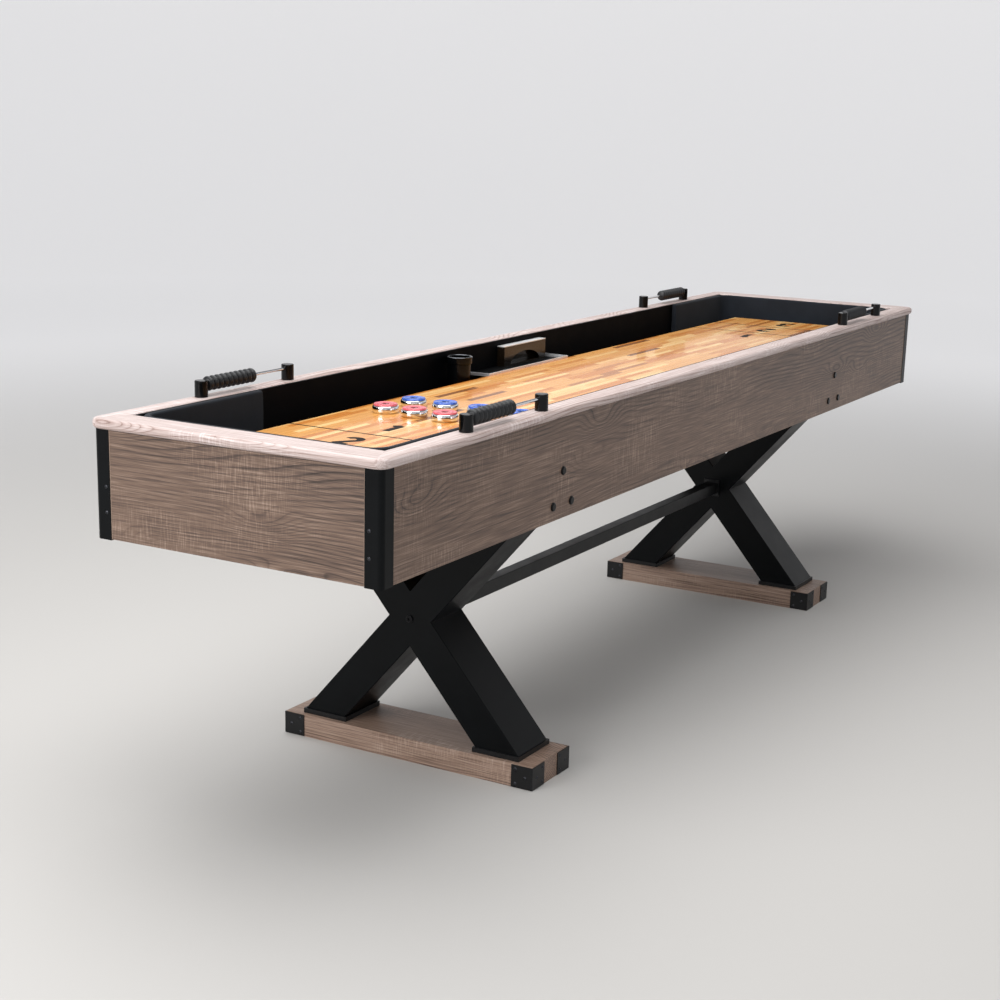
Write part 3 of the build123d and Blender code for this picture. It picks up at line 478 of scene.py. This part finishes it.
def make_surface(name, grids, material, sharp=math.radians(40)):
    """Joins grids of points into one welded mesh that faces outwards; its UV map is metres along each grid."""
    points, quads, maps, count = [], [], [], 0
    for grid in grids:
        rows, columns = grid.shape[:2]
        index = np.arange(rows * columns).reshape(rows, columns) + count
        corners = [index[:-1, :-1], index[1:, :-1], index[1:, 1:], index[:-1, 1:]]
        quads.append(np.stack(corners, axis=-1).reshape(-1, 4))
        down = np.cumsum(np.linalg.norm(np.diff(grid, axis=0, prepend=grid[:1]), axis=-1), axis=0)
        over = np.cumsum(np.linalg.norm(np.diff(grid, axis=1, prepend=grid[:, :1]), axis=-1), axis=1)
        maps.append(np.stack([down, over], axis=-1).reshape(-1, 2))
        points.append(grid.reshape(-1, 3))
        count += rows * columns
    quads = np.concatenate(quads)
    mesh = bpy.data.meshes.new(name)
    mesh.from_pydata(np.concatenate(points).tolist(), [], quads.tolist())
    mesh.uv_layers.new(name="UVMap").data.foreach_set("uv", np.concatenate(maps)[quads.ravel()].ravel())
    shell = bmesh.new()
    shell.from_mesh(mesh)
    bmesh.ops.remove_doubles(shell, verts=shell.verts, dist=WELD)
    bmesh.ops.recalc_face_normals(shell, faces=shell.faces)
    shell.to_mesh(mesh)
    shell.free()
    mesh.polygons.foreach_set("use_smooth", [True] * len(mesh.polygons))
    mesh.set_sharp_from_angle(angle=sharp)
    mesh.materials.append(material)
    surface = bpy.data.objects.new(name, mesh)
    bpy.context.scene.collection.objects.link(surface)
    return surface


def make_piece(name, grids, material, body, replaced, sharp=math.radians(40)):
    """A surface that rides on a body, with the given material, and hides the CAD nodes that it replaces."""
    piece = make_surface(name, grids, material, sharp)
    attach(piece, body)
    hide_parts(*replaced)
    return piece


def pad_section(thickness, height, settings):
    """A pad's closed section as (depth from the wall, height): straight runs with round corners and a crowned face."""
    top, foot = settings.top_radius, settings.foot_radius
    outline = np.concatenate([
        arc((foot, foot), foot, 180, 270, 5),
        arc((thickness - foot, foot), foot, 270, 360, 5),
        np.linspace((thickness, foot), (thickness, height - top), 14)[1:-1],
        arc((thickness - top, height - top), top, 0, 90, 8),
        arc((top, height - top), top, 90, 180, 8),
    ])
    outline = np.concatenate([outline, outline[:1]])
    from_middle = (2 * outline[:, 1] / height - 1) ** 2
    outline[:, 0] -= settings.crown * from_middle * outline[:, 0] / thickness
    return outline


def pad_grid(low, high, end, settings):
    """A pad's section carried along its U, shrunk over a short round at each arm's end and closed in a point."""
    thickness, height = settings.thickness, high.z - low.z
    section = pad_section(thickness, height, settings)
    middle = np.array([thickness, height]) / 2
    reach, half = high.x - low.x - settings.corner_radius, high.y - settings.corner_radius
    radius, bend = settings.end_radius, settings.corner_radius
    turn = np.linspace(0, RIGHT_ANGLE, 6)
    arm = np.concatenate([[0.0], radius * (1 - np.cos(turn)), np.linspace(radius, reach, 12)[1:]])
    inset = np.concatenate([[0.0], radius * (1 - np.sin(turn)), np.zeros(11)])
    line = np.concatenate([
        np.stack([arm, np.full_like(arm, -high.y)], axis=-1),
        arc((reach, -half), bend, -90, 0, 16)[1:],
        np.linspace((reach + bend, -half), (reach + bend, half), 14)[1:],
        arc((reach, half), bend, 0, 90, 16)[1:],
        np.stack([arm, np.full_like(arm, high.y)], axis=-1)[::-1][1:],
    ])
    bends = len(line) - 2 * len(arm)
    inset = np.concatenate([inset, np.zeros(bends), inset[::-1]])
    angle = np.concatenate([
        np.full(len(arm), -90.0), np.linspace(-90, 0, 16)[1:], np.zeros(13), np.linspace(0, 90, 16)[1:],
        np.full(len(arm) - 1, 90.0),
    ])
    inward = -np.stack([np.cos(np.radians(angle)), np.sin(np.radians(angle))], axis=-1)
    share = 1 - 2 * inset[:, None] / np.array([thickness, height])
    share[[0, -1]] = 0
    shrunk = middle + (section[None] - middle) * share[:, None]
    plan = line[:, None] + inward[:, None] * shrunk[..., :1]
    grid = np.concatenate([plan, shrunk[..., 1:] + low.z], axis=-1)
    grid[..., 0] += low.x
    if end == "left":
        grid[..., 0] = low.x + high.x - grid[..., 0]
    return grid


def bead_grids(low, high, settings):
    """Beads in a row: each outline is half a superellipse from shoulder to shoulder, closed down to the bore."""
    pitch = (high.x - low.x + settings.gap) / BEADS_PER_GROUP
    half = (pitch - settings.gap) / 2
    outer = (high.z - low.z) / 2
    shoulder, bore, power = settings.shoulder_radius, settings.bore_radius, 2 / settings.roundness
    angle = np.linspace(0, math.pi, 25)
    ridge = np.stack([
        shoulder + (outer - shoulder) * np.abs(np.sin(angle)) ** power,
        half * np.sign(np.cos(angle)) * np.abs(np.cos(angle)) ** power,
    ], axis=-1)
    outline = np.concatenate([[(bore, half)], ridge, [(bore, -half), (bore, half)]])
    middles = low.x + half + pitch * np.arange(BEADS_PER_GROUP)
    return [
        turned(outline, (x, (low.y + high.y) / 2, (low.z + high.z) / 2), 48, "X") for x in middles
    ]


def puck_base_profile(radius, height, cap_radius, settings):
    """Outline of a weight: flat foot, broken edge, a belt that is an arc fullest at mid height, and the cap's seat."""
    edge, bulge = settings.edge_radius, settings.bulge
    rise = np.linspace(edge, height - edge, 15)
    belt = radius - bulge * (2 * rise / height - 1) ** 2
    waist = belt[0]
    return np.concatenate([
        [(0, 0), (waist - edge, 0)],
        np.stack([belt, rise], axis=-1),
        [(waist - edge, height), (cap_radius + PUCK_SEAT_GAP, height),
         (cap_radius + PUCK_SEAT_GAP, height - settings.cap_seat), (0, height - settings.cap_seat)],
    ])


def puck_cap_profile(radius, low, high, settings):
    """Outline of a cap: straight side, round rim, a shallow dish and a dimple with a soft edge."""
    rim = settings.rim_width / 2
    face = high - settings.dish_depth
    dimple = settings.dimple_radius
    return np.concatenate([
        [(0, low), (radius, low)],
        arc((radius - rim, high - rim), rim, 0, 90, 7),
        arc((radius - rim, high - rim), rim, 90, 140, 4)[1:],
        [(radius - 2.6 * rim, face), (dimple + 0.5 * MM, face), (dimple, face - 0.2 * MM),
         (dimple - 0.6 * MM, face - settings.dimple_depth), (0, face - settings.dimple_depth)],
    ])


def screw_head(settings):
    """A dome, rise (1 - r^3), less a cross where |x| or |y| is small, and a flat back that closes it.

    A square grid becomes a disc by x = u sqrt(1 - v^2 / 2) and y = v sqrt(1 - u^2 / 2).
    """
    steps = np.linspace(-1, 1, 21)
    u, v = np.meshgrid(steps, steps, indexing="ij")
    x, y = u * np.sqrt(1 - v ** 2 / 2), v * np.sqrt(1 - u ** 2 / 2)
    from_middle = np.hypot(x, y)
    dome = settings.head_rise * (1 - from_middle ** 3)
    arm = settings.cross_width / settings.head_radius / 2
    cross = (np.minimum(np.abs(x), np.abs(y)) < arm) & (from_middle < CROSS_REACH)
    top = np.where(cross, dome - settings.cross_depth, dome)
    x, y = x * settings.head_radius, y * settings.head_radius
    back = -0.1 * MM * (1 - from_middle ** 2)
    return [np.stack([x, y, top], axis=-1), np.stack([x, y, back], axis=-1)]


def facing_out(grid, facing):
    """Turns a grid that faces +Z to face the given way along X or Y."""
    axis, way = facing
    across, up, out = grid[..., 0], grid[..., 1], grid[..., 2] * way
    return np.stack([out, across, up] if axis == "X" else [across, out, up], axis=-1)


def screw_places(settings):
    """Every screw's place and facing: three on each face of each foot bracket, and two in each post's end face."""
    low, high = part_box("foot_brackets")
    leg_low, leg_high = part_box("leg_beam_outer_right")
    station = (leg_low.x + leg_high.x) / 2
    half_x, half_y = high.x - station, high.y
    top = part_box("foot_beams")[1].z
    inner = settings.bracket_reach - settings.from_edge
    spots = [(settings.from_corner, top / 2), (inner, top - settings.from_edge), (inner, settings.from_edge)]
    for foot in (-station, station):
        for x_way in (-1, 1):
            for y_way in (-1, 1):
                for from_corner, z in spots:
                    yield (foot + x_way * half_x, y_way * (half_y - from_corner), z), ("X", x_way)
                    yield (foot + x_way * (half_x - from_corner), y_way * half_y, z), ("Y", y_way)
    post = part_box("corner_posts")[1]
    for x_way in (-1, 1):
        for y_way in (-1, 1):
            for drop in (settings.upper_drop, settings.lower_drop):
                yield (x_way * post.x, y_way * (post.y - settings.from_face), post.z - drop), ("X", x_way)


def soft_box(name, place, target, size, power):
    """A rectangular area light aimed at a point."""
    light = bpy.data.lights.new(name, "AREA")
    light.shape, light.size, light.size_y, light.energy = "RECTANGLE", *size, power
    box = bpy.data.objects.new(name, light)
    bpy.context.scene.collection.objects.link(box)
    box.location = place
    aim = Matrix.Translation(target).translation - box.location
    box.rotation_mode = "QUATERNION"
    box.rotation_quaternion = aim.to_track_quat("-Z", "Y")


# ---- operators --------------------------------------------------------------------------
class TABLE_OT_cabinet(bpy.types.Operator):
    """Printed oak on the panels, rails and feet, and the dark boards inside the cabinet"""
    bl_idname = "shuffleboard.cabinet"
    bl_label = "Cabinet"

    def execute(self, context):
        look = context.scene.table_laminate
        panel = (look.pore, look.shade, look.tone, look.pale)
        rail = (look.lit_rail_pore, look.lit_rail_shade, look.lit_rail_tone, look.lit_rail_pale)
        foot = (look.lit_foot_pore, look.lit_foot_shade, look.lit_foot_tone, look.lit_foot_pale)
        spacing, saw = look.line_spacing, look.saw_mark_spacing
        side_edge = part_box("side_panel_front")[1].x
        end_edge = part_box("end_panels")[1].y
        dress(oak_laminate("oak_laminate_side_panels", panel, spacing, saw, ALONG_X, side_edge),
              "side_panel_front", "side_panel_back")
        dress(oak_laminate("oak_laminate_end_panels", panel, spacing, saw, ALONG_Y, end_edge), "end_panels")
        # Painted light: the feet take the lighter foot palette.
        dress(oak_laminate("oak_laminate_feet", foot, spacing, saw, ALONG_Y), "foot_beams")
        # Painted light: the rails take the much paler rail palette.
        dress(oak_laminate("oak_laminate_side_rails", rail, spacing, saw, ALONG_X), "side_rail_front", "side_rail_back")
        dress(oak_laminate("oak_laminate_end_rails", rail, spacing, saw, ALONG_Y), "end_rail_left", "end_rail_right")
        dress(plain_pine("sawn_pine"), "cross_battens")
        # Both boards inside are dull and near black. This is partly their own black and partly painted shade, so the
        # trough reads as a dark slot.
        black = context.scene.table_black
        dress(coated("dark_fibreboard_and_painted_shade", black.trough_black_and_shade, 0.8, 0.8 * MM, 0.1 * MM), "deck_board", "rail_backers")
        dress(coated("black_board_and_painted_shade", black.trough_black_and_shade, 0.6, 0.5 * MM, 0.05 * MM, Specular_IOR_Level=0.05),
              "side_liners")
        return {"FINISHED"}


class TABLE_OT_legs(bpy.types.Operator):
    """Satin black legs and posts, and powder-coated steel"""
    bl_idname = "shuffleboard.legs"
    bl_label = "Legs"

    def execute(self, context):
        # Brushed-on satin paint has a soft sheen on the legs; powder coat is a little rougher, with a fine orange peel.
        black = context.scene.table_black
        beams = [f"leg_beam_{layer}_{end}" for layer in ("inner", "outer") for end in ENDS]
        dress(coated("satin_black_paint", black.leg_paint, 0.34, 1.2 * MM, 0.06 * MM, Specular_IOR_Level=0.12), *beams,
              "head_beams", "corner_posts")
        dress(coated("black_powder_coat", black.powder_coat, 0.42, 0.7 * MM, 0.12 * MM, Specular_IOR_Level=0.35),
              "foot_plates", "foot_brackets", "stretcher")
        dress(coated("blackened_bolts", black.powder_coat, 0.3, 0.5 * MM, 0.03 * MM, Metallic=0.7), "frame_bolts")
        return {"FINISHED"}


class TABLE_OT_playfield(bpy.types.Operator):
    """Lacquered butcher block with its dark zone lines and figures"""
    bl_idname = "shuffleboard.playfield"
    bl_label = "Playfield"

    def execute(self, context):
        board = context.scene.table_board
        dress(butcher_block(board), "playfield")
        # Ink under the lacquer: near black, and duller than the wood round it.
        dress(coated("inlaid_ink", board.inlay, 0.5, 0.6 * MM, 0.02 * MM, Specular_IOR_Level=0.05, Coat_Weight=0.06,
                     Coat_Roughness=0.1),
              "field_inlays")
        return {"FINISHED"}


class TABLE_OT_padded_ends(bpy.types.Operator):
    """Cloth-covered foam pads that line both ends of the trough"""
    bl_idname = "shuffleboard.padded_ends"
    bl_label = "Padded ends"

    def execute(self, context):
        shape = context.scene.table_pad
        cloth = felted("charcoal_brushed_cloth", context.scene.table_black.pad_cloth, 1.1 * MM, 0.25 * MM)
        for end in ENDS:
            low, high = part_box(f"end_bumper_{end}")
            pad = make_piece(
                f"pad_{end}", [pad_grid(low, high, end, shape)], cloth, "table", [f"end_bumper_{end}"],
                sharp=math.radians(60),
            )
        return {"FINISHED"}


class TABLE_OT_gutter_fittings(bpy.types.Operator):
    """Carpet, shelf, arched box and cup of the back gutter"""
    bl_idname = "shuffleboard.gutter_fittings"
    bl_label = "Gutter fittings"

    def execute(self, context):
        black, bright = context.scene.table_black, context.scene.table_bright
        dress(felted("needle_felt_carpet", black.carpet, 1.6 * MM, 0.5 * MM), "gutter_carpet")
        # The shelf is dull moulded plastic, the box is lacquered board, and the cup is the glossiest of the three.
        plastic = coated("moulded_black_plastic", black.plastic, 0.5, 0.9 * MM, 0.03 * MM, Specular_IOR_Level=0.1)
        dress(plastic, "gutter_shelf")
        dress(coated("lacquered_brown_box", black.box_lacquer, 0.22, 1.5 * MM, 0.03 * MM, Specular_IOR_Level=0.3,
                     Coat_Weight=0.2, Coat_Roughness=0.1), "arch_box")
        aluminium = bare_metal("brushed_aluminium", bright.aluminium, 0.55, ALONG_X)
        dress(aluminium, "shelf_lip", "arch_box_top")
        low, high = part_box("cup")
        rim_low, rim_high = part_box("cup_rim")
        middle = ((low.x + high.x) / 2, (low.y + high.y) / 2, 0)
        radius, rim = (high.x - low.x) / 2, (rim_high.x - rim_low.x) / 2
        bore, collar = radius - CUP_WALL, high.z - CUP_COLLAR
        cup = np.concatenate([
            [(0, low.z)], arc((radius - 3 * MM, low.z + 2 * MM), 2 * MM, -90, 0, 5) + (0, 0),
            [(radius - 0.4 * MM, collar - 2 * MM)],
            arc((rim - 1.8 * MM, collar), 1.5 * MM, -90, 0, 5),
            [(rim - 0.3 * MM, high.z), (bore, high.z), (bore, low.z + CUP_WALL + 2 * MM)],
            arc((bore - 2 * MM, low.z + CUP_WALL + 2 * MM), 2 * MM, 0, -90, 5), [(0, low.z + CUP_WALL)],
        ])
        gloss = coated("glossy_black_cup", black.plastic, 0.2, 2.0 * MM, 0.02 * MM, Specular_IOR_Level=0.15,
                       Coat_Weight=0.06, Coat_Roughness=0.05)
        make_piece("cup_body", [turned(cup, middle)], gloss, "table", ["cup"])
        lip_middle, lip = (rim + bore) / 2, (rim - bore) / 2
        angle = np.linspace(0, 2 * np.pi, 21)
        ring = np.stack([
            lip_middle + lip * np.cos(angle),
            (rim_low.z + rim_high.z) / 2 + (rim_high.z - rim_low.z) / 2 * np.sin(angle),
        ], axis=-1)
        smoked = bare_metal("smoked_chrome_ring", bright.smoked_chrome, 0.22)
        make_piece("cup_ring", [turned(ring, middle)], smoked, "table", ["cup_rim"])
        return {"FINISHED"}


class TABLE_OT_scorers(bpy.types.Operator):
    """Posts and rods on the rails, and the rubber beads that slide on them"""
    bl_idname = "shuffleboard.scorers"
    bl_label = "Scorers"

    def execute(self, context):
        scene = context.scene
        posts = coated("turned_black_posts", scene.table_black.plastic, 0.2, 0.8 * MM, 0.03 * MM,
                       Specular_IOR_Level=0.25)
        dress(posts, "scorer_posts")
        dress(bare_metal("chromed_rod", scene.table_bright.chrome, 0.1), "scorer_rods")
        # Rubber is softer in gloss than the posts, so each ridge carries one broad highlight.
        rubber = coated("moulded_rubber", scene.table_black.rubber, 0.42, 0.8 * MM, 0.08 * MM, Specular_IOR_Level=0.5)
        for group in BEAD_GROUPS:
            low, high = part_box(f"beads_{group}")
            make_piece(f"grips_{group}", bead_grids(low, high, scene.table_scorer), rubber, f"beads_{group}",
                       [f"beads_{group}"])
        return {"FINISHED"}


class TABLE_OT_pucks(bpy.types.Operator):
    """Chromed puck bases with their coloured caps"""
    bl_idname = "shuffleboard.pucks"
    bl_label = "Pucks"

    def execute(self, context):
        scene = context.scene
        shape, bright = scene.table_puck, scene.table_bright
        plate = bare_metal("chrome_plate", bright.chrome, 0.09)
        cap_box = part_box("puck_red_1_cap")
        outline = puck_cap_profile((cap_box[1].x - cap_box[0].x) / 2, 0, cap_box[1].z - cap_box[0].z, shape)
        along = np.linalg.norm(np.diff(outline, axis=0), axis=1).sum()
        # Where the dimple, with its painted shade, starts along the cap's outline.
        hollow = along - shape.dimple_radius - shape.dimple_depth
        caps = {
            "red": cap_plastic("glossy_red_plastic", bright.red_cap, hollow),
            "blue": cap_plastic("glossy_blue_plastic", bright.blue_cap, hollow),
        }
        for puck in PUCKS:
            colour = puck.split("_")[0]
            low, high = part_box(f"puck_{puck}_base")
            cap_low, cap_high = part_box(f"puck_{puck}_cap")
            middle = ((low.x + high.x) / 2, (low.y + high.y) / 2, low.z)
            cap_radius = (cap_high.x - cap_low.x) / 2
            base = puck_base_profile((high.x - low.x) / 2, high.z - low.z, cap_radius, shape)
            cap = puck_cap_profile(cap_radius, cap_low.z - low.z, cap_high.z - low.z, shape)
            make_piece(f"weight_{puck}", [turned(base, middle)], plate, f"puck_{puck}", [f"puck_{puck}_base"])
            make_piece(f"cap_{puck}", [turned(cap, middle)], caps[colour], f"puck_{puck}",
                       [f"puck_{puck}_cap"])
        return {"FINISHED"}


class TABLE_OT_screws(bpy.types.Operator):
    """Cross-head screws in the foot brackets and corner posts"""
    bl_idname = "shuffleboard.screws"
    bl_label = "Screws"

    def execute(self, context):
        scene = context.scene
        # Blackened steel keeps a dark metallic glint on the dome.
        steel = bare_metal("blackened_steel_screw", scene.table_bright.screw_steel, 0.35)
        head = screw_head(scene.table_fastener)
        grids = []
        for place, facing in screw_places(scene.table_fastener):
            for face in head:
                grids.append(facing_out(face, facing) + np.array(place))
        make_piece("cross_head_screws", grids, steel, "table", ["small_screws"])
        return {"FINISHED"}


class TABLE_OT_stage(bpy.types.Operator):
    """Seamless pale floor, soft lights and the camera"""
    bl_idname = "shuffleboard.stage"
    bl_label = "Stage"

    def execute(self, context):
        scene = context.scene
        look = scene.table_stage
        # Matt paper that is lit by its own lamps further out, so that it fades to a pale wall.
        material, tree, shader, where = start("matt_backdrop_paper", Roughness=0.95, Specular_IOR_Level=0.1)
        mottle = add(tree, "TexNoise", {"Vector": where, "Scale": 0.6, "Detail": 2.0})
        shade = add(tree, "MapRange", {"Value": mottle, "To Min": 0.97, "To Max": 1.0})
        tint = add(tree, "VectorMath", {0: tuple(look.floor)[:3], "Scale": shade.outputs[0]}, operation="SCALE")
        tree.links.new(tint.outputs[0], shader.inputs["Base Color"])
        shader.inputs["Emission Color"].default_value = look.sky
        far = add(tree, "VectorMath", {0: where}, operation="LENGTH")
        lit = add(tree, "MapRange", {
            "Value": far.outputs["Value"], "From Min": 1.4, "From Max": 6.0, "To Max": look.glow,
        }, interpolation_type="SMOOTHSTEP")
        tree.links.new(lit.outputs[0], shader.inputs["Emission Strength"])
        profile = np.concatenate([
            [(0, 0), (2, 0), (5, 0)], arc((STUDIO_RADIUS, STUDIO_SWEEP), STUDIO_SWEEP, -90, 0, 24),
            [(STUDIO_RADIUS + STUDIO_SWEEP, STUDIO_HEIGHT)],
        ])
        grid = turned(profile, (0, 0, 0), 96)
        make_surface("studio_floor", [grid], material)
        sky = bpy.data.worlds.new("studio_sky")
        sky.use_nodes = True
        glow = sky.node_tree.nodes["Background"]
        glow.inputs["Color"].default_value = look.sky
        glow.inputs["Strength"].default_value = look.sky_strength
        scene.world = sky
        soft_box("over_table", (-0.4, 0.3, 3.2), (0, 0, 0.7), (4.6, 2.6), look.key_power)
        soft_box("off_near_end", (-4.2, 1.0, 2.2), (-1.0, 0, 0.6), (2.4, 2.0), look.end_power)
        camera = bpy.data.objects.new("camera", bpy.data.cameras.new("camera"))
        scene.collection.objects.link(camera)
        camera.data.lens = look.focal_length
        camera.data.shift_x, camera.data.shift_y = look.shift
        turn = Matrix.Rotation(-look.heading, 4, "Z") @ Matrix.Rotation(RIGHT_ANGLE - look.tilt, 4, "X")
        turn = turn @ Matrix.Rotation(look.roll, 4, "Z")
        camera.matrix_world = Matrix.Translation(look.camera_place) @ turn
        scene.camera = camera
        scene.view_settings.view_transform = "Standard"
        return {"FINISHED"}


OPERATORS = (
    TABLE_OT_cabinet, TABLE_OT_legs, TABLE_OT_playfield, TABLE_OT_padded_ends, TABLE_OT_gutter_fittings,
    TABLE_OT_scorers, TABLE_OT_pucks, TABLE_OT_screws, TABLE_OT_stage,
)
SETTINGS = {
    "table_laminate": LaminateSettings,
    "table_board": BoardSettings,
    "table_black": BlackSettings,
    "table_bright": BrightSettings,
    "table_pad": PadSettings,
    "table_scorer": ScorerSettings,
    "table_puck": PuckSettings,
    "table_fastener": FastenerSettings,
    "table_stage": StageSettings,
}


class TABLE_PT_sidebar(bpy.types.Panel):
    """Lists the table's pieces with their settings."""
    bl_idname = "TABLE_PT_sidebar"
    bl_label = "Shuffleboard Table"
    bl_space_type = "VIEW_3D"
    bl_region_type = "UI"
    bl_category = "Table"

    def draw(self, context):
        for operator in OPERATORS:
            self.layout.operator(operator.bl_idname)
        for name, group in SETTINGS.items():
            box = self.layout.box()
            box.label(text=group.__doc__)
            for prop in group.__annotations__:
                box.prop(getattr(context.scene, name), prop)


def register():
    for group in SETTINGS.values():
        bpy.utils.register_class(group)
    for name, group in SETTINGS.items():
        setattr(bpy.types.Scene, name, bpy.props.PointerProperty(type=group))
    for operator in OPERATORS:
        bpy.utils.register_class(operator)
    bpy.utils.register_class(TABLE_PT_sidebar)


def unregister():
    bpy.utils.unregister_class(TABLE_PT_sidebar)
    for operator in reversed(OPERATORS):
        bpy.utils.unregister_class(operator)
    for name in SETTINGS:
        delattr(bpy.types.Scene, name)
    for group in reversed(SETTINGS.values()):
        bpy.utils.unregister_class(group)


def main():
    """Builds everything in order."""
    register()
    for operator in OPERATORS:
        name = operator.bl_idname.split(".")[1]
        getattr(bpy.ops.shuffleboard, name)()


if __name__ == "__main__":
    main()
